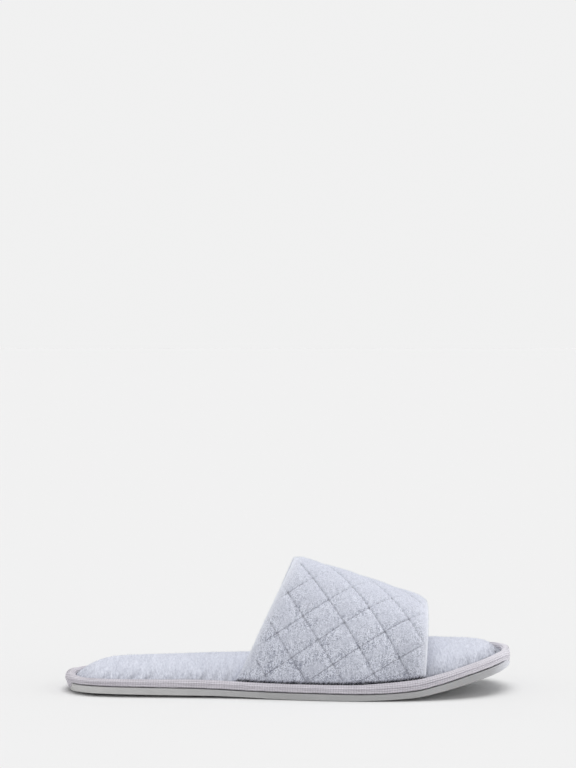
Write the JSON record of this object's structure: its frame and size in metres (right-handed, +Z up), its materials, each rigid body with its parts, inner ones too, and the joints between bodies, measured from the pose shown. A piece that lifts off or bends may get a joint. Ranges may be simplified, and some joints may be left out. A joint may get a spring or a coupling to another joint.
{
  "type": "slide slipper",
  "caption": "Open-toe, open-back slide slipper for a right foot: quilted velour band over a crowned foam insole, with a taped edge and a thin flexible outsole.",
  "frame": {"origin": "middle of the underside, on the plane that the sole stands on", "axes": "+X from heel to toe, +Y to the inner side of the foot, +Z up"},
  "size_m": [0.2596, 0.0936, 0.077],
  "materials": {
    "outsole": "matt, finely ribbed tread",
    "edge_binding": "ribbed woven tape",
    "insole": "short velour pile over foam",
    "upper": "diamond-quilted heather velour"
  },
  "bodies": {
    "root": {"outsole": "outsole", "edge_binding": "edge_binding", "insole": "insole", "upper": "upper"}
  },
  "joints": []
}
